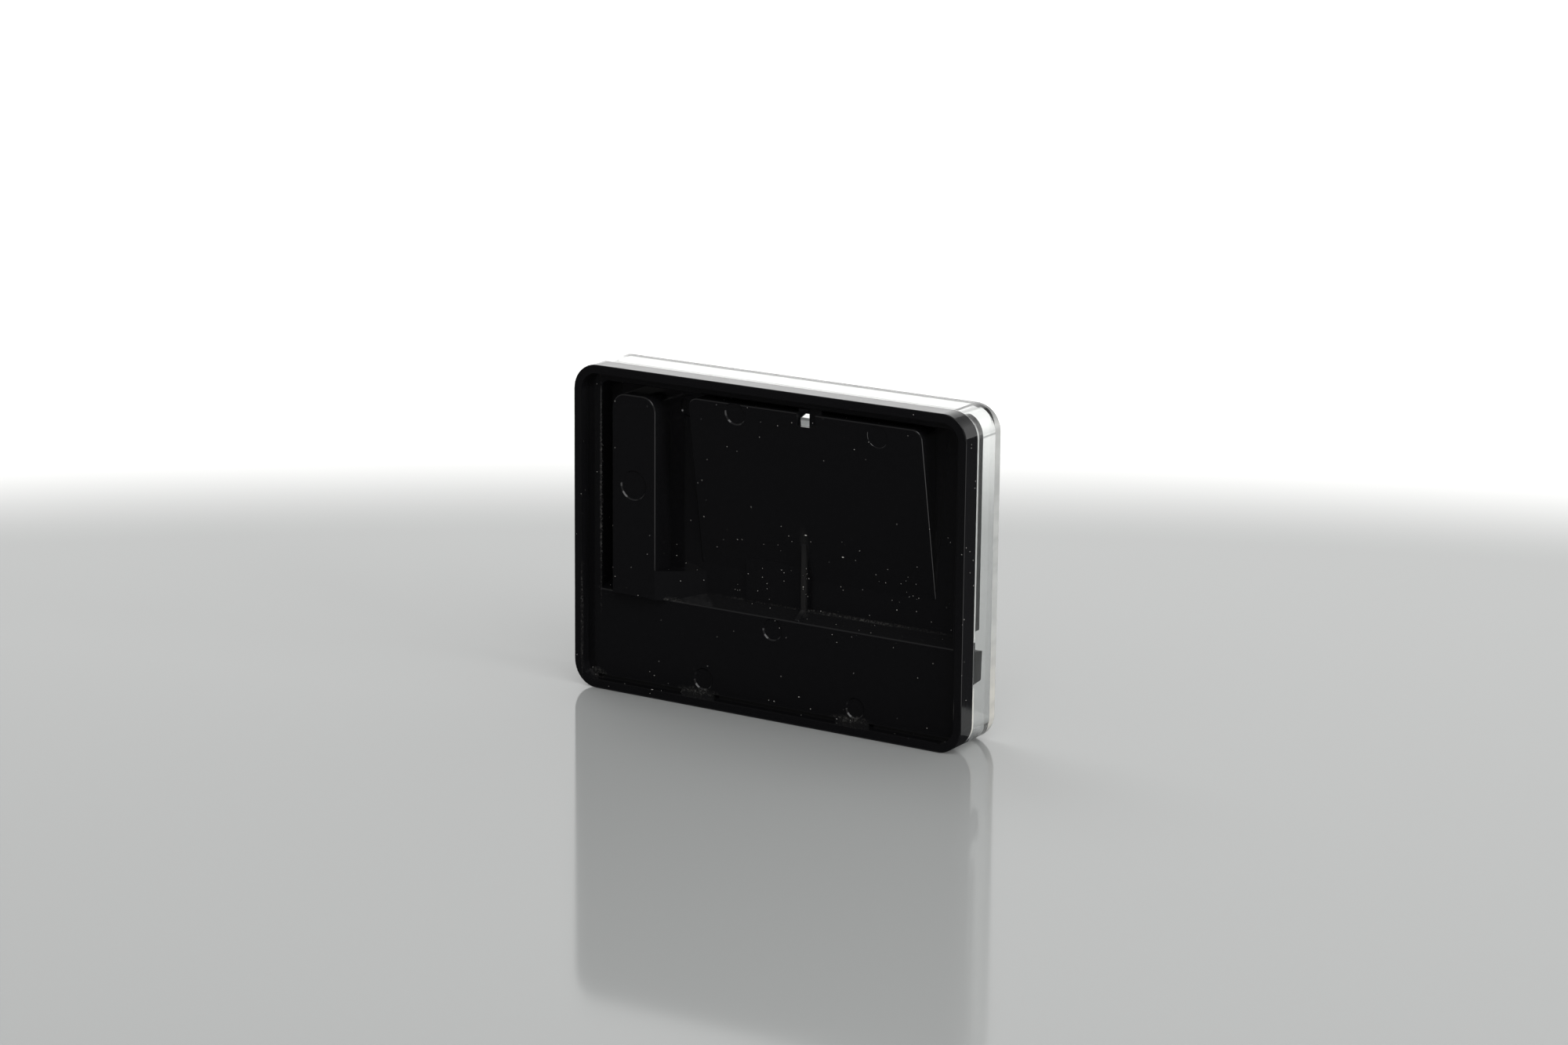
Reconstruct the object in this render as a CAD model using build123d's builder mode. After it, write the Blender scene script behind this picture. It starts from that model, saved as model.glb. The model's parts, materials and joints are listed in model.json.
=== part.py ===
"""Flat pocket case: a black moulded tray closed by a clear cover.

The case stands on one long edge.  X runs along its width, Z is up, and Y runs
from the rim of the tray (front, negative Y) to the cover (back, positive Y).
The origin is at the middle of the edge that it stands on.  Depths are measured
backwards from the rim of the tray, and widths from the middle of the case.
All dimensions are in millimetres.
"""
import math
import os

from build123d import *

# ---- driving dimensions -------------------------------------------------

WIDTH = 67.5
HEIGHT = 50.0
DEPTH = 10.1
CORNER_RADIUS = 4.0

# tray: outer skin, seen from the front
RIM = 1.3
SKIN = 1.2
LEFT_SKIN = 2.25
PANEL_DEPTH = 1.8
FLOOR_DEPTH = 4.7
FLANGE_DEPTH = 3.2
PLATEAU_DEPTH = 6.0
BULGE_DEPTH = 0.5
PANEL_TOP = 15.2
LEDGE_TOP = 16.3
PLATEAU_BOTTOM = 15.0
FIT_GAP = 0.25
END_RELIEF_TOP = 17.5
END_RELIEF_WIDTH = 1.4

# bulge of the tool pocket, on the left
TOOL_BULGE_LEFT = -27.2
TOOL_BULGE_WIDTH = 7.7
TOOL_BULGE_TOP = 46.1
TOOL_BULGE_CORNER = 2.3
SCOOP_WIDTH = 6.5
SCOOP_TOP = 19.7

# sloping bulge of the plate pocket, on the right
RAMP_LEFT = -13.8
RAMP_RIGHT = 26.65
RAMP_RIGHT_LEAN = 0.6
RAMP_TOP = 47.0
RAMP_BOTTOM = 21.0
RAMP_CORNER = 1.6
RAMP_RUN_ON = 3.0
NOTCH_CENTRE = 6.7
NOTCH_WIDTH = 3.2
NOTCH_BOTTOM = 44.9
NOTCH_CLEAR = 1.45
NOTCH_BACK_LEFT = 2.2
NOTCH_BACK_TOP = 46.7
NOTCH_WEB_FOOT = 45.79
NOTCH_WEB_SLOPE = 0.86
NOTCH_WEB_THICKNESS = 0.5
RIB_CENTRE = 4.65
RIB_WIDTH = 0.75
RIB_DEPTH = 3.65
RIB_TOP = 26.7
RIB_ROUND = 0.12
RIB_ON_LEDGE = 0.3

# low pad at the foot of the slope
FOOT_PAD_WIDTH = 10.4
FOOT_PAD_RISE = 0.35
FOOT_PAD_TOP = 23.0

# small moulded features
OUTER_ROUND = 0.12
EDGE_ROUND = 0.25
MARK_DEPTH = 0.18
MARK_TAPER = 45
# round marks of the ejector pins: depth, width, height and radius of each
FLAT_MARKS = (
    (1.8, 0.5, 13.4, 1.7),
    (1.8, -11.6, 3.9, 1.7),
    (1.8, 14.9, 3.7, 1.6),
    (0.5, -23.35, 32.3, 2.3),
    (4.7, -16.1, 44.6, 1.7),
)
# the same on the slope: width, distance below its top edge, radius and depth of the dent
SLOPE_MARKS = (
    (-5.6, 1.6, 1.8, 0.18),
    (18.6, 2.0, 1.7, 0.06),
)
GROOVE_HEIGHT = 0.5
GROOVE_DEPTH = 0.7
CATCH_WIDTH = 5.8
CATCH_CENTRES = (-12.6, 14.4)
CATCH_HEIGHT = 0.8
CATCH_REACH = 1.3
LUG_WIDTH = 1.6
# side outline of the end lugs, as depths and heights
LUG_OUTLINE = (
    (3.0, 9.4), (3.2, 9.4), (6.8, 9.8), (7.0, 14.1), (4.9, 14.5), (4.9, 15.8), (3.2, 16.0), (3.0, 16.0),
)

# cover
COVER_WALL = 1.2
COVER_PLATE = 1.0
PARTING_GAP = 0.05
COVER_EDGE_ROUND = 0.35

# plate that the case stores
PLATE_WIDTH = 38.9
PLATE_HEIGHT = 26.4
PLATE_THICKNESS = 1.5
PLATE_TOP = 44.7
PLATE_CORNER = 0.8
PLATE_CHAMFER = 0.3
SEAT_RIB = 0.9
SEAT_RIB_RISE = 1.4
SEAT_RIB_BOTTOM = 23.0
SEAT_RIB_TOP = 41.0
SEAT_GAP = 0.25
STOP_OFFSET = 11.0
STOP_WIDTH = 3.0
STOP_HEIGHT = 1.2

# tweezers that the case stores
TOOL_WIDTH = 4.4
TIP_WIDTH = 1.4
TIP_LENGTH = 9.0
ARM_THICKNESS = 0.6
# bow of each arm away from the joint plane, and the heights where it bends
FRONT_BOW = 1.65
REAR_BOW = 2.2
BEND_HEIGHTS = (15.8, 24.0, 31.0)
TIP_SHARE = 0.35
BEND_ROUND = 8.0
TOOL_BOTTOM = 3.2
TOOL_TOP = 44.2
RIVET_RADIUS = 0.8
RIVET_HEAD_RADIUS = 1.35
RIVET_HEAD = 0.45
RIVET_HEIGHT = 7.0

FRONT_Y = -DEPTH / 2
INNER_WIDTH = WIDTH - 2 * RIM
INNER_RADIUS = CORNER_RADIUS - RIM
INSET = COVER_WALL + FIT_GAP
COVER_FRONT = FLANGE_DEPTH + PARTING_GAP
RAMP_TILT = math.degrees(math.atan((FLOOR_DEPTH - BULGE_DEPTH) / (RAMP_TOP - RAMP_BOTTOM)))
PLATE_CENTRE = (RAMP_LEFT + RAMP_RIGHT) / 2
TOOL_CENTRE = TOOL_BULGE_LEFT + TOOL_BULGE_WIDTH / 2


def at_depth(depth):
    """Plane facing the front at this depth; a negative extrusion goes backwards."""
    return Plane.XZ.offset(-(FRONT_Y + depth))


def side_points(*points):
    """Turn (depth, height) pairs into points of the YZ plane."""
    return [(FRONT_Y + depth, height) for depth, height in points]


def top_points(*points):
    """Turn (width, depth) pairs into points of the XY plane."""
    return [(width, FRONT_Y + depth) for width, depth in points]


def arch(left, right, bottom, top, radius):
    """Draw a rectangle whose two top corners are rounded, in the open sketch."""
    with BuildLine() as outline:
        Polyline((left, top - radius), (left, bottom), (right, bottom), (right, top - radius))
        RadiusArc((left, top - radius), (left + radius, top), radius)
        Line((left + radius, top), (right - radius, top))
        RadiusArc((right - radius, top), (right, top - radius), radius)
    make_face(outline.line.edges())


def block(left, right, near, far, bottom, top, mode=Mode.ADD):
    """Add or cut a square block, from its lowest and highest width, depth and height."""
    corner = ((left + right) / 2, FRONT_Y + (near + far) / 2, (bottom + top) / 2)
    with Locations(corner):
        Box(right - left, far - near, top - bottom, mode=mode)


def round_front(part, radius):
    """Round the edges of the foremost flat face of the open part."""
    fillet(part.faces().filter_by(Axis.Y).sort_by(Axis.Y)[0].edges(), radius=radius)


# ---- raised forms of the tray, before they are joined to it --------------

scoop_start = TOOL_BULGE_LEFT + TOOL_BULGE_WIDTH

with BuildPart() as tool_bulge:
    with BuildSketch(at_depth(BULGE_DEPTH)):
        arch(TOOL_BULGE_LEFT, scoop_start, PANEL_TOP, TOOL_BULGE_TOP, TOOL_BULGE_CORNER)
    extrude(amount=-(FLOOR_DEPTH - BULGE_DEPTH + 0.2))
    round_front(tool_bulge, EDGE_ROUND)

with BuildPart() as plate_bulge:
    # a rounded block cut back to a slope, which runs on below the floor
    foot_height = RAMP_BOTTOM - RAMP_RUN_ON
    with BuildSketch(at_depth(0)) as slope_outline:
        with BuildLine():
            Polyline(
                (RAMP_LEFT, foot_height), (RAMP_LEFT, RAMP_TOP),
                (RAMP_RIGHT - RAMP_RIGHT_LEAN, RAMP_TOP), (RAMP_RIGHT, foot_height),
                close=True,
            )
        make_face()
        fillet(slope_outline.vertices().group_by(Axis.Y)[-1], radius=RAMP_CORNER)
    extrude(amount=-(PLATEAU_DEPTH - 0.1))
    foot_depth = FLOOR_DEPTH + RAMP_RUN_ON * math.tan(math.radians(RAMP_TILT))
    past_top = 1.0
    rise = past_top * math.tan(math.radians(RAMP_TILT))
    with BuildSketch(Plane.YZ.offset(RAMP_LEFT - past_top)):
        with BuildLine():
            Polyline(
                *side_points(
                    (-past_top, RAMP_TOP + past_top), (BULGE_DEPTH - rise, RAMP_TOP + past_top),
                    (foot_depth + rise, foot_height - past_top), (-past_top, foot_height - past_top),
                ),
                close=True,
            )
        make_face()
    extrude(amount=RAMP_RIGHT - RAMP_LEFT + 2 * past_top, mode=Mode.SUBTRACT)
    slope_face = plate_bulge.faces().sort_by(lambda face: face.normal_at().Y)[0]
    fillet(slope_face.edges(), radius=EDGE_ROUND)

with BuildPart() as slim_rib:
    block(
        RIB_CENTRE - RIB_WIDTH / 2, RIB_CENTRE + RIB_WIDTH / 2,
        RIB_DEPTH, FLOOR_DEPTH + 0.2, PANEL_TOP + 0.2, RIB_TOP,
    )
    # its foot runs on down the ledge
    with BuildSketch(Plane.YZ.offset(RIB_CENTRE - RIB_WIDTH / 2)):
        with BuildLine():
            Polyline(
                *side_points(
                    (RIB_DEPTH, LEDGE_TOP + 1.0), (RIB_DEPTH, LEDGE_TOP + RIB_ON_LEDGE),
                    (PANEL_DEPTH + 0.1, PANEL_TOP + RIB_ON_LEDGE), (PANEL_DEPTH + 0.1, PANEL_TOP - 0.2),
                    (RIB_DEPTH + 0.5, PANEL_TOP - 0.2), (RIB_DEPTH + 0.5, LEDGE_TOP + 1.0),
                ),
                close=True,
            )
        make_face()
    extrude(amount=RIB_WIDTH)
    round_front(slim_rib, RIB_ROUND)

# ---- tray ---------------------------------------------------------------

with BuildPart() as tray:
    # flange with the full outline, and the plateau that fills the cover
    with BuildSketch(at_depth(0)):
        with Locations((0, HEIGHT / 2)):
            RectangleRounded(WIDTH, HEIGHT, CORNER_RADIUS)
    extrude(amount=-FLANGE_DEPTH)
    round_front(tray, OUTER_ROUND)
    plateau_edge = WIDTH / 2 - INSET
    plateau_top = HEIGHT - INSET
    with BuildSketch(at_depth(FLANGE_DEPTH)):
        arch(-plateau_edge, plateau_edge, PLATEAU_BOTTOM, plateau_top, CORNER_RADIUS - INSET)
    extrude(amount=-(PLATEAU_DEPTH - FLANGE_DEPTH))

    # hollow front: shallow over the lower panel, deep above the sloping ledge
    with BuildSketch(at_depth(0)):
        with Locations((0, HEIGHT / 2)):
            RectangleRounded(INNER_WIDTH, HEIGHT - 2 * RIM, INNER_RADIUS)
    extrude(amount=-PANEL_DEPTH, mode=Mode.SUBTRACT)
    deep_left = LEFT_SKIN - plateau_edge
    deep_right = plateau_edge - SKIN
    hollow_top = plateau_top - SKIN
    with BuildSketch(at_depth(PANEL_DEPTH)):
        arch(deep_left, deep_right, LEDGE_TOP, hollow_top, CORNER_RADIUS - INSET - SKIN)
    extrude(amount=-(FLOOR_DEPTH - PANEL_DEPTH), mode=Mode.SUBTRACT)
    with BuildSketch(Plane.YZ.offset(deep_left)):
        with BuildLine():
            Polyline(
                *side_points((PANEL_DEPTH, PANEL_TOP), (FLOOR_DEPTH, LEDGE_TOP), (PANEL_DEPTH, LEDGE_TOP)),
                close=True,
            )
        make_face()
    extrude(amount=deep_right - deep_left, mode=Mode.SUBTRACT)
    shelf_y = FRONT_Y + PANEL_DEPTH
    flat_faces = tray.faces().filter_by(Axis.Y)
    shelf_face = flat_faces.filter_by_position(Axis.Y, shelf_y - 0.1, shelf_y + 0.1)[0]
    fillet(shelf_face.inner_wires()[0].edges(), radius=EDGE_ROUND)

    # relief at the foot of the plateau's right end, backed by a thicker corner
    block(
        deep_right - 0.8, deep_right + 0.2, FLANGE_DEPTH + 0.3, PLATEAU_DEPTH - 0.2,
        PANEL_TOP, END_RELIEF_TOP + SKIN,
    )
    block(
        plateau_edge - END_RELIEF_WIDTH, plateau_edge + 0.1, FLANGE_DEPTH, PLATEAU_DEPTH + 0.1,
        PLATEAU_BOTTOM - 0.1, END_RELIEF_TOP, mode=Mode.SUBTRACT,
    )

    # the two bulges, the rib and a low pad at the foot of the slope
    add(plate_bulge.part)
    add(tool_bulge.part)
    block(
        RIB_CENTRE - FOOT_PAD_WIDTH, RIB_CENTRE, FLOOR_DEPTH - FOOT_PAD_RISE, FLOOR_DEPTH + 0.2,
        PANEL_TOP + 0.4, FOOT_PAD_TOP,
    )
    add(slim_rib.part)

    # scoop that runs out of the foot of the tool pocket
    scoop_end = scoop_start + SCOOP_WIDTH
    with BuildSketch(Plane.XY.offset(PANEL_TOP)):
        with BuildLine():
            Polyline(
                *top_points(
                    (scoop_start - SKIN, BULGE_DEPTH), (scoop_start, BULGE_DEPTH),
                    (scoop_end, FLOOR_DEPTH), (scoop_end, FLOOR_DEPTH + 0.2),
                    (scoop_start - SKIN, FLOOR_DEPTH + 0.2),
                ),
                close=True,
            )
        make_face()
    extrude(amount=SCOOP_TOP - PANEL_TOP)

    # pockets, cut from the back
    pocket_left = TOOL_BULGE_LEFT + SKIN
    pocket_right = scoop_start - SKIN
    pocket_depth = BULGE_DEPTH + SKIN
    past_plateau = PLATEAU_DEPTH + 0.5
    with BuildSketch(at_depth(past_plateau)):
        arch(pocket_left, pocket_right, LEDGE_TOP + 0.1, TOOL_BULGE_TOP - SKIN, TOOL_BULGE_CORNER - SKIN)
    extrude(amount=past_plateau - pocket_depth, mode=Mode.SUBTRACT)
    block(
        pocket_left, pocket_right, FLANGE_DEPTH, past_plateau, PLATEAU_BOTTOM - 0.1, LEDGE_TOP + 0.2,
        mode=Mode.SUBTRACT,
    )
    with BuildSketch(Plane.XY.offset(LEDGE_TOP + 0.1)):
        with BuildLine():
            Polyline(
                *top_points(
                    (pocket_right - 0.5, pocket_depth), (pocket_right, pocket_depth),
                    (pocket_right + SCOOP_WIDTH, PLATEAU_DEPTH), (pocket_right + SCOOP_WIDTH, past_plateau),
                    (pocket_right - 0.5, past_plateau),
                ),
                close=True,
            )
        make_face()
    extrude(amount=SCOOP_TOP - SKIN - LEDGE_TOP - 0.1, mode=Mode.SUBTRACT)
    with BuildSketch(Plane.YZ.offset(RAMP_LEFT + SKIN)):
        with BuildLine():
            Polyline(
                *side_points(
                    (pocket_depth, RAMP_TOP - SKIN), (past_plateau, RAMP_TOP - SKIN),
                    (past_plateau, RAMP_BOTTOM - 1.8), (PLATEAU_DEPTH, RAMP_BOTTOM - 1.8),
                ),
                close=True,
            )
        make_face()
    extrude(amount=RAMP_RIGHT - RAMP_LEFT - 2 * SKIN, mode=Mode.SUBTRACT)

    # release notch through the top of the plate pocket, narrowed behind by a rib and a sloping web
    notch_left = NOTCH_CENTRE - NOTCH_WIDTH / 2
    notch_right = NOTCH_CENTRE + NOTCH_WIDTH / 2
    pocket_top = RAMP_TOP - SKIN
    block(notch_left, notch_right, 0, pocket_depth + 0.15, NOTCH_BOTTOM, RAMP_TOP + 0.1, mode=Mode.SUBTRACT)
    block(
        NOTCH_BACK_LEFT, notch_right, pocket_depth, PLATEAU_DEPTH + 0.1, pocket_top - 0.1, NOTCH_BACK_TOP,
        mode=Mode.SUBTRACT,
    )
    block(
        notch_left + NOTCH_CLEAR, notch_right + 0.3, pocket_depth + 0.1, PLATEAU_DEPTH,
        NOTCH_BOTTOM - 1.3, hollow_top + 0.1,
    )
    web_left = notch_left - 0.3
    web_top = hollow_top + 0.05
    web_right = web_left + (web_top - NOTCH_WEB_FOOT) / NOTCH_WEB_SLOPE
    with BuildSketch(at_depth(pocket_depth)):
        with BuildLine():
            Polyline(
                (web_left, NOTCH_WEB_FOOT), (web_right, web_top), (web_left, web_top), close=True,
            )
        make_face()
    extrude(amount=-NOTCH_WEB_THICKNESS)

    # ribs and stops that hold the plate on the plateau
    seat_top = PLATEAU_DEPTH + SEAT_RIB_RISE
    stop_bottom = PLATE_TOP + SEAT_GAP
    for side in (-1, 1):
        seat_inner = PLATE_WIDTH / 2 + SEAT_GAP
        near_edge = PLATE_CENTRE + side * seat_inner
        far_edge = PLATE_CENTRE + side * (seat_inner + SEAT_RIB)
        left_edge = min(near_edge, far_edge)
        right_edge = max(near_edge, far_edge)
        block(left_edge, right_edge, PLATEAU_DEPTH - 0.2, seat_top, SEAT_RIB_BOTTOM, SEAT_RIB_TOP)
        stop_centre = PLATE_CENTRE + side * STOP_OFFSET
        block(
            stop_centre - STOP_WIDTH / 2, stop_centre + STOP_WIDTH / 2, PLATEAU_DEPTH - 0.2, seat_top,
            stop_bottom, stop_bottom + STOP_HEIGHT,
        )

    # end lugs of the lower channel, seen through the ends of the cover
    for side in (-1, 1):
        lug_outer = side * plateau_edge
        lug_start = min(lug_outer, lug_outer - side * LUG_WIDTH)
        with BuildSketch(Plane.YZ.offset(lug_start)):
            with BuildLine():
                Polyline(*side_points(*LUG_OUTLINE), close=True)
            make_face()
        extrude(amount=LUG_WIDTH)

    # catches behind the standing edge, which keep the cover from dropping
    for centre in CATCH_CENTRES:
        block(
            centre - CATCH_WIDTH / 2, centre + CATCH_WIDTH / 2, FLANGE_DEPTH - 0.2, FLANGE_DEPTH + CATCH_REACH,
            INSET, INSET + CATCH_HEIGHT,
        )

    # blind grooves between the lower panel and the rim, broken at the catches
    groove_end = INNER_WIDTH / 2 - 1.7
    catch_edges = [(centre - CATCH_WIDTH / 2, centre + CATCH_WIDTH / 2) for centre in CATCH_CENTRES]
    groove_starts = [-groove_end] + [right for left, right in catch_edges]
    groove_ends = [left for left, right in catch_edges] + [groove_end]
    for left, right in zip(groove_starts, groove_ends):
        block(
            left, right, PANEL_DEPTH - 0.1, PANEL_DEPTH + GROOVE_DEPTH, RIM, RIM + GROOVE_HEIGHT,
            mode=Mode.SUBTRACT,
        )

    # witness marks of the ejector pins, as shallow round dents
    for depth, x, z, radius in FLAT_MARKS:
        with BuildSketch(at_depth(depth)):
            with Locations((x, z)):
                Circle(radius)
        extrude(amount=-MARK_DEPTH, taper=MARK_TAPER, mode=Mode.SUBTRACT)
    slope_normal = Vector(0, -1, 0).rotate(Axis.X, RAMP_TILT)
    slope_plane = Plane(origin=(0, FRONT_Y + BULGE_DEPTH, RAMP_TOP), x_dir=(1, 0, 0), z_dir=slope_normal)
    for x, below, radius, dent in SLOPE_MARKS:
        with BuildSketch(slope_plane):
            with Locations((x, -below)):
                Circle(radius)
        extrude(amount=-dent, taper=MARK_TAPER, mode=Mode.SUBTRACT)
tray.part.label = "tray"

# ---- cover --------------------------------------------------------------

with BuildPart() as cover:
    with BuildSketch(at_depth(COVER_FRONT)):
        with Locations((0, HEIGHT / 2)):
            RectangleRounded(WIDTH, HEIGHT, CORNER_RADIUS)
    extrude(amount=-(DEPTH - COVER_FRONT))
    back_face = cover.faces().sort_by(Axis.Y)[-1]
    fillet(back_face.edges(), radius=COVER_EDGE_ROUND)
    with BuildSketch(at_depth(COVER_FRONT)):
        with Locations((0, HEIGHT / 2)):
            RectangleRounded(WIDTH - 2 * COVER_WALL, HEIGHT - 2 * COVER_WALL, CORNER_RADIUS - COVER_WALL)
    extrude(amount=-(DEPTH - COVER_PLATE - COVER_FRONT), mode=Mode.SUBTRACT)
cover.part.label = "cover"

# ---- stored plate -------------------------------------------------------

with BuildPart() as stored_plate:
    with BuildSketch(at_depth(PLATEAU_DEPTH)):
        with Locations((PLATE_CENTRE, PLATE_TOP - PLATE_HEIGHT / 2)):
            RectangleRounded(PLATE_WIDTH, PLATE_HEIGHT, PLATE_CORNER)
    extrude(amount=-PLATE_THICKNESS)
    rear_edges = stored_plate.faces().sort_by(Axis.Y)[-1].edges()
    chamfer(rear_edges, length=PLATE_CHAMFER)
stored_plate.part.label = "stored_plate"

# ---- tweezers -----------------------------------------------------------

joint_plane = FLANGE_DEPTH + RIVET_HEAD + ARM_THICKNESS


def arm_outline(side, bow):
    """Bent strip in the YZ plane: side -1 is the front arm, side +1 the rear one."""
    foot, bow_start, bow_end = BEND_HEIGHTS
    path = (
        (joint_plane, TOOL_BOTTOM),
        (joint_plane, foot),
        (joint_plane + side * bow, bow_start),
        (joint_plane + side * bow, bow_end),
        (joint_plane + side * bow * TIP_SHARE, TOOL_TOP),
    )
    outer = [(depth + side * ARM_THICKNESS, height) for depth, height in reversed(path)]
    return side_points(*path, *outer)


TIP_CUT = (TOOL_WIDTH - TIP_WIDTH) / 2
arms = {}
for name, side, bow in (("tweezer_front_arm", -1, FRONT_BOW), ("tweezer_rear_arm", 1, REAR_BOW)):
    with BuildPart() as arm:
        with BuildSketch(Plane.YZ.offset(TOOL_CENTRE - TOOL_WIDTH / 2)):
            with BuildLine():
                Polyline(*arm_outline(side, bow), close=True)
            make_face()
        extrude(amount=TOOL_WIDTH)
        cross_edges = arm.edges().filter_by(Axis.X)
        bends = cross_edges.filter_by_position(Axis.Z, TOOL_BOTTOM + 1.0, TOOL_TOP - 1.0)
        fillet(bends, radius=BEND_ROUND)
        # narrow the tips
        with BuildSketch(at_depth(0)):
            for hand in (-1, 1):
                edge = TOOL_CENTRE + hand * TOOL_WIDTH / 2
                with BuildLine():
                    Polyline(
                        (edge, TOOL_TOP - TIP_LENGTH), (edge - hand * TIP_CUT, TOOL_TOP), (edge, TOOL_TOP),
                        close=True,
                    )
                make_face()
        extrude(amount=-DEPTH, mode=Mode.SUBTRACT)
        # hole for the rivet
        with BuildSketch(at_depth(0)):
            with Locations((TOOL_CENTRE, RIVET_HEIGHT)):
                Circle(RIVET_RADIUS)
        extrude(amount=-DEPTH, mode=Mode.SUBTRACT)
    arm.part.label = name
    arms[name] = arm.part

with BuildPart() as tweezer_rivet:
    head_near = joint_plane - ARM_THICKNESS - RIVET_HEAD
    with BuildSketch(at_depth(head_near)):
        with Locations((TOOL_CENTRE, RIVET_HEIGHT)):
            Circle(RIVET_HEAD_RADIUS)
    extrude(amount=-RIVET_HEAD)
    with BuildSketch(at_depth(head_near + RIVET_HEAD)):
        with Locations((TOOL_CENTRE, RIVET_HEIGHT)):
            Circle(RIVET_RADIUS)
    extrude(amount=-2 * ARM_THICKNESS)
    with BuildSketch(at_depth(joint_plane + ARM_THICKNESS)):
        with Locations((TOOL_CENTRE, RIVET_HEIGHT)):
            Circle(RIVET_HEAD_RADIUS)
    extrude(amount=-RIVET_HEAD)
tweezer_rivet.part.label = "tweezer_rivet"

# ---- files --------------------------------------------------------------

os.makedirs("parts", exist_ok=True)
export_step(tray.part, "parts/tray.step")
export_step(cover.part, "parts/cover.step")
export_step(stored_plate.part, "parts/stored_plate.step")
for name, arm_part in arms.items():
    export_step(arm_part, f"parts/{name}.step")
export_step(tweezer_rivet.part, "parts/tweezer_rivet.step")
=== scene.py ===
"""Looks of the flat pocket case: black moulded tray, clear cover, matte plate and tweezers."""
import json
import math

import bpy
from mathutils import Matrix, Vector


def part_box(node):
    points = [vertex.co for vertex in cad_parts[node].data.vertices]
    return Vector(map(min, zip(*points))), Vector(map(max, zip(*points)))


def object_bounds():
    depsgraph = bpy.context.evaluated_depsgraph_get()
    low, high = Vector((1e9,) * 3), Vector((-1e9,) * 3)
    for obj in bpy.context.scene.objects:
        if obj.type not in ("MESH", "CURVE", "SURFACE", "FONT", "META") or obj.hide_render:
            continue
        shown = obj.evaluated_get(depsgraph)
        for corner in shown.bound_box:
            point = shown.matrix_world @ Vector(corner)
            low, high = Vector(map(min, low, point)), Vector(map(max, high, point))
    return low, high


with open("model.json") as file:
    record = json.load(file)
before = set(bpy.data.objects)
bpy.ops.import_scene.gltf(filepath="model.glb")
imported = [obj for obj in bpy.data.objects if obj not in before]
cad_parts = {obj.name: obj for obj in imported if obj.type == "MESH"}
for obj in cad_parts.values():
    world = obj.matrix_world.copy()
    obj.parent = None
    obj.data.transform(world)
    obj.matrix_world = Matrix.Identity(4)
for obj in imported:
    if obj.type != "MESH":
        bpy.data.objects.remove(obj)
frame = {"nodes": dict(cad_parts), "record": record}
CAD_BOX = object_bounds()

MM = 0.001

# ---- camera: the angle that the case is seen from ------------------------
# angles are in degrees, and the lens and sensor in millimetres
AZIMUTH = 32.05
ELEVATION = 13.94
ROLL = 0.55
DISTANCE = 604 * MM
AIM = Vector((3.5 * MM, CAD_BOX[0].y, 30.5 * MM))
LENS = 95.2
SENSOR = 36
NEAREST = 0.01
FARTHEST = 50


def add_camera():
    """Camera on a sphere round the aim point, given by azimuth, elevation and roll."""
    azimuth = math.radians(AZIMUTH)
    elevation = math.radians(ELEVATION)
    back = Vector((
        math.sin(azimuth) * math.cos(elevation),
        -math.cos(azimuth) * math.cos(elevation),
        math.sin(elevation),
    ))
    data = bpy.data.cameras.new("camera")
    data.lens = LENS
    data.sensor_width = SENSOR
    data.clip_start = NEAREST
    data.clip_end = FARTHEST
    camera = bpy.data.objects.new("camera", data)
    turn = (-back).to_track_quat("-Z", "Y").to_matrix().to_4x4()
    roll = Matrix.Rotation(math.radians(ROLL), 4, "Z")
    camera.matrix_world = Matrix.Translation(AIM + back * DISTANCE) @ turn @ roll
    bpy.context.collection.objects.link(camera)
    bpy.context.scene.camera = camera


# ---- node helpers ---------------------------------------------------------

def new_material(name):
    """A material with its Principled shader; returns (material, node tree, shader)."""
    material = bpy.data.materials.new(name)
    material.use_nodes = True
    tree = material.node_tree
    return material, tree, tree.nodes["Principled BSDF"]


def add_node(tree, kind, inputs=(), **settings):
    """Add one node; inputs are (socket, value or output socket) pairs."""
    node = tree.nodes.new(kind)
    for key, value in settings.items():
        setattr(node, key, value)
    for socket, value in inputs:
        if isinstance(value, bpy.types.NodeSocket):
            tree.links.new(value, node.inputs[socket])
        else:
            node.inputs[socket].default_value = value
    return node


def plug(tree, shader, **sockets):
    """Link outputs to the shader's sockets; an underscore in a name stands for a space."""
    for name, output in sockets.items():
        tree.links.new(output, shader.inputs[name.replace("_", " ")])


def object_point(tree, stretch=(1, 1, 1)):
    """Object coordinates in millimetres, stretched along the axes."""
    source = add_node(tree, "ShaderNodeTexCoord")
    scale = [1000 * s for s in stretch]
    mapping = add_node(tree, "ShaderNodeMapping", [("Vector", source.outputs["Object"]), ("Scale", scale)])
    return mapping.outputs["Vector"]


def split(tree, vector):
    """The X, Y and Z outputs of a vector."""
    return add_node(tree, "ShaderNodeSeparateXYZ", [("Vector", vector)]).outputs


def noise(tree, point, scale, detail=3.0, rough=0.5):
    """Noise value between 0 and 1, with its scale per millimetre."""
    node = add_node(
        tree, "ShaderNodeTexNoise",
        [("Vector", point), ("Scale", scale), ("Detail", detail), ("Roughness", rough)],
    )
    return node.outputs["Fac"]


def remap(tree, value, low, high, to_low, to_high):
    """Clamped linear map from one range to another."""
    node = add_node(
        tree, "ShaderNodeMapRange",
        [("Value", value), ("From Min", low), ("From Max", high), ("To Min", to_low), ("To Max", to_high)],
    )
    return node.outputs["Result"]


def math_node(tree, operation, a, b=0.0):
    """One arithmetic node."""
    return add_node(tree, "ShaderNodeMath", [(0, a), (1, b)], operation=operation).outputs[0]


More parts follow.
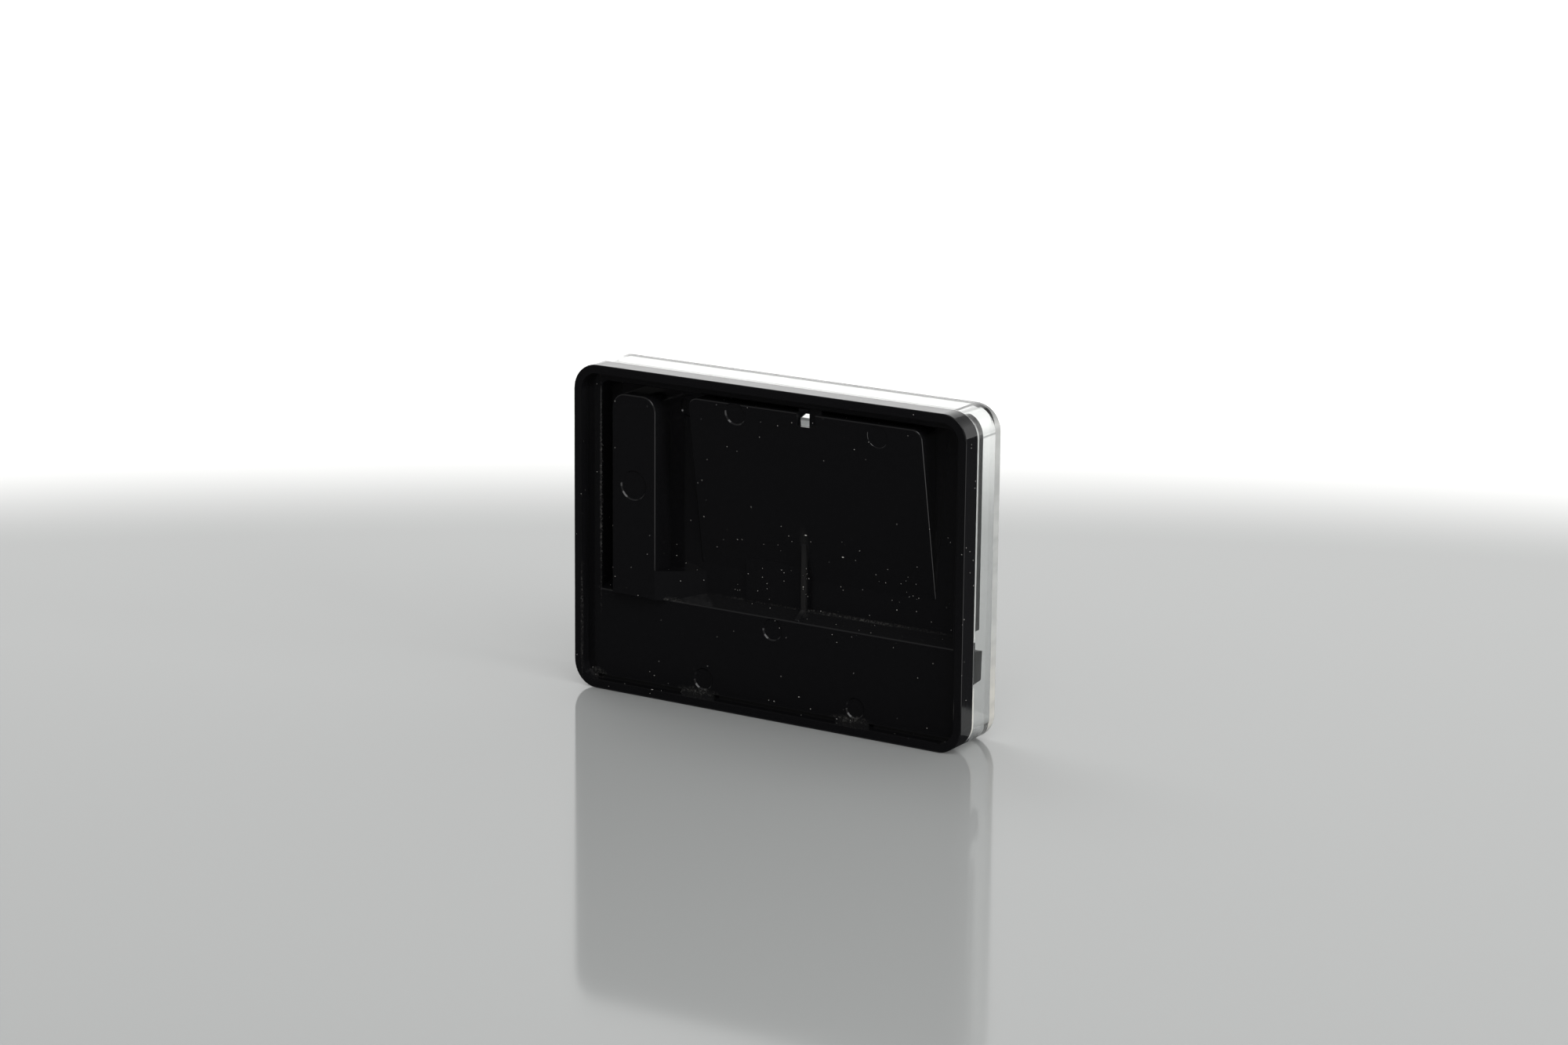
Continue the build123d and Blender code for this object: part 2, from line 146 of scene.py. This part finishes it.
def fold(tree, operation, first, *others):
    """The same operation over several values, from left to right."""
    result = first
    for value in others:
        result = math_node(tree, operation, result, value)
    return result


def largest(tree, *values):
    """Largest of several values."""
    return fold(tree, "MAXIMUM", *values)


def product(tree, *values):
    """Product of several values."""
    return fold(tree, "MULTIPLY", *values)


def size_of(tree, value):
    """The value without its sign."""
    return math_node(tree, "ABSOLUTE", value)


def above(tree, value, limit):
    """1 where the value is over the limit, and 0 elsewhere."""
    return math_node(tree, "GREATER_THAN", value, limit)


def opposite(tree, value):
    """1 minus the value."""
    return math_node(tree, "SUBTRACT", 1.0, value)


def mix_colour(tree, factor, a, b):
    """Mix of two colours."""
    node = add_node(tree, "ShaderNodeMix", [("Factor", factor), (6, a), (7, b)], data_type="RGBA")
    return node.outputs[2]


def bump(tree, height, strength, distance):
    """Bump normal from a height value; distance is in metres."""
    inputs = [("Height", height), ("Strength", strength), ("Distance", distance)]
    return add_node(tree, "ShaderNodeBump", inputs).outputs["Normal"]


def specks(tree, point, per_mm, size, keep):
    """1 on small round grains scattered in space: keep is the share of cells that hold one."""
    cells = add_node(tree, "ShaderNodeTexVoronoi", [("Vector", point), ("Scale", per_mm)])
    near = math_node(tree, "LESS_THAN", cells.outputs["Distance"], size)
    chosen = add_node(tree, "ShaderNodeSeparateColor", [("Color", cells.outputs["Color"])])
    picked = math_node(tree, "LESS_THAN", chosen.outputs["Red"], keep)
    return product(tree, near, picked)


def spot(tree, point, centre, radii):
    """1 inside an ellipsoid given in millimetres, falling softly to 0 outside it."""
    offset = add_node(tree, "ShaderNodeVectorMath", [(0, point), (1, centre)], operation="SUBTRACT")
    scaled = add_node(tree, "ShaderNodeVectorMath", [(0, offset.outputs[0]), (1, radii)], operation="DIVIDE")
    reach = add_node(tree, "ShaderNodeVectorMath", [(0, scaled.outputs[0])], operation="LENGTH")
    return remap(tree, reach.outputs["Value"], 0.5, 1.2, 1.0, 0.0)


# ---- black moulding: positions are in millimetres ---------------------------

BLACK = (0.0065, 0.0065, 0.0073, 1)
DUST_AND_SHEEN_COLOUR = (0.88, 0.86, 0.81, 1)
BLACK_IOR = 1.5

FRONT = CAD_BOX[0].y / MM
SHELF = FRONT + 1.8
HOLLOW_FLOOR = FRONT + 4.7
COVERED_FROM = FRONT + 3.22
OUTER_SIDE = 31.2

# patches of settled dust, each as its centre and radii
LOW_HOLLOW = ((7.0, 0.0, 20.5), (27.0, 30.0, 9.0))
DUSTY_EDGES = (
    ((-32.4, FRONT + 0.1, 10.0), (0.25, 0.4, 9.0)),
    ((-30.1, SHELF, 30.0), (0.22, 0.5, 18.0)),
    ((-12.6, SHELF, 1.9), (3.4, 0.8, 0.6)),
    ((14.4, SHELF, 1.9), (3.4, 0.8, 0.6)),
    ((-21.0, SHELF, 15.4), (9.0, 0.6, 0.35)),
    ((10.0, HOLLOW_FLOOR, 16.4), (20.0, 0.5, 0.25)),
    ((-30.7, SHELF, 1.8), (1.5, 0.8, 0.9)),
)
SCRATCH = ((32.45, SHELF - 0.9, 6.8), (0.10, 1.2, 2.0))
# painted highlight: a smooth, lighter sheen on the rib's face that stands in for the rib's highlight
RIB_SHEEN_SPOT = ((4.65, FRONT + 3.6, 20.5), (0.9, 0.7, 8.5))
SCRATCH_FILM = 0.10
RIB_SHEEN = 0.018


def black_moulding():
    """Gloss black polystyrene with moulding ripple, dust, a scratch, a painted sheen on the rib and dull
    covered sides.
    """
    material, tree, shader = new_material("black_moulding")
    point = object_point(tree)
    ripple = noise(tree, point, 0.35, 2.0)
    patch = noise(tree, point, 0.12, 4.0, 0.6)
    streak = noise(tree, object_point(tree, (2.2, 2.2, 0.12)), 1.0, 3.0)

    # loose dust: thick low in the hollow, thin elsewhere
    cloud = remap(tree, patch, 0.48, 0.64, 0.04, 0.5)
    uneven = remap(tree, patch, 0.40, 0.60, 0.25, 1.0)
    density = largest(tree, product(tree, spot(tree, point, *LOW_HOLLOW), uneven), cloud)
    fleck_point = object_point(tree, (0.5, 1.0, 1.3))
    loose = largest(
        tree,
        specks(tree, point, 1.1, 0.075, product(tree, density, 0.12)),
        specks(tree, point, 2.4, 0.12, product(tree, density, 0.14)),
        specks(tree, fleck_point, 0.40, 0.040, product(tree, density, 0.35)),
    )

    # grey dotted lines along the rim, the hollow and the ledge, and a painted sheen on the rib's face that
    # stands in for its highlight
    crumbs = noise(tree, point, 2.6, 3.0, 0.7)
    edges = largest(tree, *[spot(tree, point, centre, radii) for centre, radii in DUSTY_EDGES])
    dust_and_sheen = largest(
        tree, loose,
        product(tree, edges, remap(tree, crumbs, 0.50, 0.68, 0.008, 0.10)),
        product(tree, spot(tree, point, *SCRATCH), SCRATCH_FILM),
        product(tree, spot(tree, point, *RIB_SHEEN_SPOT), RIB_SHEEN),
    )

    # the outer sides under the cover, with the end lugs, are left dull by the mould
    place = split(tree, point)
    outer = above(tree, size_of(tree, place["X"]), OUTER_SIDE)
    covered = above(tree, place["Y"], COVERED_FROM)
    dull = product(tree, outer, covered, 0.5)

    gloss = remap(tree, streak, 0.3, 0.7, 0.07, 0.15)
    roughness = math_node(tree, "ADD", largest(tree, gloss, product(tree, dust_and_sheen, 0.8)), dull)
    # the base colour mixes in the dust and the painted sheen on the rib
    plug(
        tree, shader, Base_Color=mix_colour(tree, dust_and_sheen, BLACK, DUST_AND_SHEEN_COLOUR), Roughness=roughness,
        Normal=bump(tree, ripple, 0.06, 0.0004),
    )
    shader.inputs["IOR"].default_value = BLACK_IOR
    return material


# ---- clear moulding: positions are in millimetres ---------------------------

CLEAR = (0.93, 0.94, 0.935, 1)
CLEAR_DUST = (0.75, 0.75, 0.73, 1)
# colours of the painted glow on the cover's edges: pale higher up, cream near the floor and dim on the level
# walls
EDGE_PALE = (0.60, 0.61, 0.59, 1)
EDGE_CREAM = (0.80, 0.77, 0.69, 1)
EDGE_LEVEL = (0.13, 0.13, 0.128, 1)
CLEAR_IOR = 1.56
# width of the pale bands: at the back on the end and the level walls, and at the parting line
END_BAND = 1.78
LEVEL_BAND = 0.9
LIP_BAND = (0.32, 0.42)
LUG_HEIGHT = 13.0


def edge_glow(tree, place):
    """Share of pale light on the cover's walls, and how level each wall is.

    Light that runs along the walls leaves at the edge of the back plate and at the parting line.
    """
    low, high = (corner.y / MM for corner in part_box("cover"))
    source = add_node(tree, "ShaderNodeTexCoord")
    facing = split(tree, source.outputs["Normal"])
    side_wall = remap(tree, size_of(tree, facing["Y"]), 0.5, 0.9, 1.0, 0.0)
    level_wall = remap(tree, size_of(tree, facing["Z"]), 0.3, 0.8, 0.0, 1.0)
    outer_face = remap(tree, size_of(tree, place["X"]), 32.60, 32.75, 0.0, 1.0)

    plate_start = remap(tree, level_wall, 0.0, 1.0, high - END_BAND, high - LEVEL_BAND)
    plate_edge = above(tree, place["Y"], plate_start)
    lip = remap(tree, place["Y"], low + LIP_BAND[0], low + LIP_BAND[1], 1.0, 0.0)
    from_lug = size_of(tree, math_node(tree, "SUBTRACT", place["Z"], LUG_HEIGHT))
    beside_lug = remap(tree, from_lug, 3.2, 4.0, 0.0, 1.0)
    lip_edge = product(tree, lip, opposite(tree, level_wall), beside_lug)

    bands = largest(tree, plate_edge, lip_edge)
    uneven = remap(tree, noise(tree, object_point(tree, (1, 0.2, 1)), 0.5, 2.0), 0.3, 0.7, 0.65, 0.90)
    # painted light: the glow is pale base colour put in place of clear transmission
    glow = product(tree, bands, side_wall, largest(tree, outer_face, level_wall), uneven)
    return glow, level_wall


def clear_moulding():
    """Clear polystyrene: its long edges glow pale, and it has flow waves, hairlines and dust."""
    material, tree, shader = new_material("clear_moulding")
    point = object_point(tree)
    place = split(tree, point)
    wave = noise(tree, point, 0.06, 1.0)
    hairs = noise(tree, object_point(tree, (0.4, 1, 6.0)), 1.2, 4.0, 0.7)
    dust = specks(tree, point, 0.6, 0.05, 0.12)

    glow, level_wall = edge_glow(tree, place)
    near_floor = remap(tree, place["Z"], 3.0, 18.0, 1.0, 0.0)
    pale = mix_colour(tree, near_floor, EDGE_PALE, EDGE_CREAM)
    pale = mix_colour(tree, level_wall, pale, EDGE_LEVEL)
    clean = mix_colour(tree, glow, CLEAR, pale)

    rough = largest(tree, product(tree, dust, 0.5), product(tree, glow, 0.3))
    rough = math_node(tree, "ADD", rough, remap(tree, hairs, 0.66, 0.78, 0.0, 0.03))
    plug(
        tree, shader, Base_Color=mix_colour(tree, dust, clean, CLEAR_DUST), Roughness=rough,
        Normal=bump(tree, wave, 0.12, 0.0008), Transmission_Weight=opposite(tree, glow),
    )
    shader.inputs["IOR"].default_value = CLEAR_IOR
    return material


# ---- matte plate and tweezers -----------------------------------------------

ACRYLIC = (0.66, 0.68, 0.68, 1)
ACRYLIC_TRANSMISSION = 0.75
ACRYLIC_IOR = 1.49
STEEL_DARK = (0.50, 0.50, 0.50, 1)
STEEL_LIGHT = (0.66, 0.66, 0.65, 1)


def matte_plate():
    """Light-passing acrylic with a fine matte grain."""
    material, tree, shader = new_material("matte_plate")
    point = object_point(tree)
    grain = noise(tree, point, 9.0, 2.0)
    tone = remap(tree, noise(tree, point, 0.2, 2.0), 0.3, 0.7, 0.34, 0.42)
    plug(tree, shader, Roughness=tone, Normal=bump(tree, grain, 0.25, 0.00005))
    shader.inputs["Base Color"].default_value = ACRYLIC
    shader.inputs["Transmission Weight"].default_value = ACRYLIC_TRANSMISSION
    shader.inputs["IOR"].default_value = ACRYLIC_IOR
    return material


def tool_steel():
    """Stainless steel brushed along the tweezers."""
    material, tree, shader = new_material("tool_steel")
    brushed = noise(tree, object_point(tree, (9.0, 9.0, 0.25)), 1.0, 5.0, 0.7)
    stain = noise(tree, object_point(tree), 0.5, 3.0)
    plug(
        tree, shader, Base_Color=mix_colour(tree, stain, STEEL_DARK, STEEL_LIGHT),
        Roughness=remap(tree, brushed, 0.25, 0.75, 0.18, 0.38), Normal=bump(tree, brushed, 0.15, 0.00003),
    )
    shader.inputs["Metallic"].default_value = 1.0
    return material


MATERIALS = {
    "black_moulding": black_moulding(),
    "clear_moulding": clear_moulding(),
    "matte_plate": matte_plate(),
    "tool_steel": tool_steel(),
}

# radius of the softened edges, in millimetres
EDGE_RADIUS = {"tray": 0.08, "cover": 0.10, "stored_plate": 0.08}
TOOL_EDGE_RADIUS = 0.06
EDGE_SEGMENTS = 3
SHARPEST_KEPT = 35


def dress_nodes():
    """Give each CAD node its material and softened edges."""
    for entry in frame["record"]["subparts"]:
        node = frame["nodes"][entry["node"]]
        node.data.materials.clear()
        node.data.materials.append(MATERIALS[entry["material_slot"]])
        soften = node.modifiers.new("soft_edges", "BEVEL")
        soften.width = EDGE_RADIUS.get(entry["node"], TOOL_EDGE_RADIUS) * MM
        soften.segments = EDGE_SEGMENTS
        soften.limit_method = "ANGLE"
        soften.angle_limit = math.radians(SHARPEST_KEPT)
        soften.harden_normals = True


# ---- stage: lengths are in metres, and angles in degrees --------------------

FLOOR_SIZE = 6.0
FLOOR_NEAR = (0.46, 0.47, 0.467, 1)
FLOOR_FAR = (0.85, 0.85, 0.84, 1)
FLOOR_LIGHT = (1, 1, 0.98, 1)
FLOOR_LIGHT_STRENGTH = 0.5
FLOOR_ROUGHNESS = 0.08
FLOOR_SPECULAR = 0.15
GREY_CENTRE = (0.22, -0.36, 0)
NEAR_RADIUS = 0.53
FAR_RADIUS = 0.63

CARD_LIFT = 0.0002
CARD_REACH = 1.6
CARD_STEPS = 24
CARD_DARK = (0.05, 0.05, 0.052, 1)
CARD_BRIGHT = 1.3

SKY = (1, 1, 0.99, 1)
SKY_DIM = 0.25
SKY_BRIGHT = 0.95

LIGHT_DISTANCE = 0.9
# name, direction, size in metres, power in watts and the kinds of ray that see it
LIGHTS = (
    ("top_left_soft", (-0.515, 0.25, 0.82), 0.45, 1.6, ("diffuse", "glossy")),
    ("front_right_soft", (0.445, -0.534, 0.719), 0.55, 2.4, ("diffuse", "glossy")),
    ("right_fill", (0.95, -0.1, 0.30), 0.5, 4.0, ("diffuse",)),
    ("back_left_gloss", (-0.515, 0.823, 0.241), 0.85, 1.4, ("glossy",)),
)


def add_floor():
    """Pale floor: light grey round the case and white further out, with a soft shine."""
    bpy.ops.mesh.primitive_plane_add(size=FLOOR_SIZE, location=(0, 0, CAD_BOX[0].z))
    floor = bpy.context.object
    floor.name = "floor"
    material, tree, shader = new_material("floor")
    source = add_node(tree, "ShaderNodeTexCoord")
    distance = add_node(
        tree, "ShaderNodeVectorMath", [(0, source.outputs["Object"]), (1, GREY_CENTRE)], operation="DISTANCE",
    )
    far = add_node(
        tree, "ShaderNodeMapRange",
        [("Value", distance.outputs["Value"]), ("From Min", NEAR_RADIUS), ("From Max", FAR_RADIUS)],
        interpolation_type="SMOOTHSTEP",
    ).outputs["Result"]
    plug(
        tree, shader, Base_Color=mix_colour(tree, far, FLOOR_NEAR, FLOOR_FAR),
        Emission_Strength=product(tree, far, FLOOR_LIGHT_STRENGTH),
    )
    shader.inputs["Emission Color"].default_value = FLOOR_LIGHT
    shader.inputs["Roughness"].default_value = FLOOR_ROUGHNESS
    shader.inputs["Specular IOR Level"].default_value = FLOOR_SPECULAR
    floor.data.materials.append(material)


def card_material(name, shader_kind, inputs):
    """One-sided card: the given shader on top, clear from below."""
    material = bpy.data.materials.new(name)
    material.use_nodes = True
    tree = material.node_tree
    tree.nodes.clear()
    top = add_node(tree, shader_kind, inputs)
    clear = add_node(tree, "ShaderNodeBsdfTransparent")
    face = add_node(tree, "ShaderNodeNewGeometry")
    mix = add_node(
        tree, "ShaderNodeMixShader",
        [(0, face.outputs["Backfacing"]), (1, top.outputs[0]), (2, clear.outputs[0])],
    )
    add_node(tree, "ShaderNodeOutputMaterial", [("Surface", mix.outputs[0])])
    return material


def add_floor_card(name, centre_x, angles, radii, material):
    """Flat sector lying on the floor, from one angle to another, that only reflections see."""
    start, end = angles
    vertices = []
    for step in range(CARD_STEPS + 1):
        angle = math.radians(start + (end - start) * step / CARD_STEPS)
        for radius in radii:
            vertices.append((radius * math.cos(angle), radius * math.sin(angle), 0))
    faces = [(2 * k, 2 * k + 1, 2 * k + 3, 2 * k + 2) for k in range(CARD_STEPS)]
    mesh = bpy.data.meshes.new(name)
    mesh.from_pydata(vertices, [], faces)
    mesh.materials.append(material)
    card = bpy.data.objects.new(name, mesh)
    card.location = (centre_x, 0, CAD_BOX[0].z + CARD_LIFT)
    bpy.context.collection.objects.link(card)
    card.visible_camera = False
    card.visible_diffuse = False
    card.visible_shadow = False
    card.visible_transmission = False


def add_world():
    """White studio: bright behind the case, dim on the camera's side."""
    world = bpy.data.worlds.new("studio")
    bpy.context.scene.world = world
    world.use_nodes = True
    tree = world.node_tree
    source = add_node(tree, "ShaderNodeTexCoord")
    direction = split(tree, source.outputs["Generated"])
    behind = remap(tree, direction["Y"], -0.4, 0.5, 0.0, 1.0)
    low_sky = remap(tree, direction["Z"], 0.35, 0.55, 1.0, 0.0)
    level = remap(tree, product(tree, behind, low_sky), 0.0, 1.0, SKY_DIM, SKY_BRIGHT)
    background = tree.nodes["Background"]
    background.inputs["Color"].default_value = SKY
    tree.links.new(level, background.inputs["Strength"])


def add_area(name, direction, size, power, seen_in):
    """Soft square light in this direction, facing the middle of the object."""
    middle = (CAD_BOX[0] + CAD_BOX[1]) / 2
    data = bpy.data.lights.new(name, "AREA")
    data.size = size
    data.energy = power
    lamp = bpy.data.objects.new(name, data)
    away = Vector(direction).normalized()
    lamp.location = middle + away * LIGHT_DISTANCE
    lamp.rotation_mode = "QUATERNION"
    lamp.rotation_quaternion = (-away).to_track_quat("-Z", "Y")
    lamp.visible_camera = False
    lamp.visible_diffuse = "diffuse" in seen_in
    lamp.visible_glossy = "glossy" in seen_in
    lamp.visible_transmission = False
    bpy.context.collection.objects.link(lamp)


add_camera()
dress_nodes()
add_floor()
dark = card_material("dark_card", "ShaderNodeBsdfDiffuse", [("Color", CARD_DARK)])
add_floor_card("dark_card_front", 0.045, (175, 282), (0.0, CARD_REACH), dark)
add_floor_card("dark_card_back", 0.0, (20, 90), (0.0, CARD_REACH), dark)
bright = card_material("bright_card", "ShaderNodeEmission", [("Strength", CARD_BRIGHT)])
add_floor_card("bright_card_right", 0.0, (312, 350), (0.055, 0.8), bright)
add_world()
for light in LIGHTS:
    add_area(*light)
bpy.context.scene.view_settings.view_transform = "Standard"
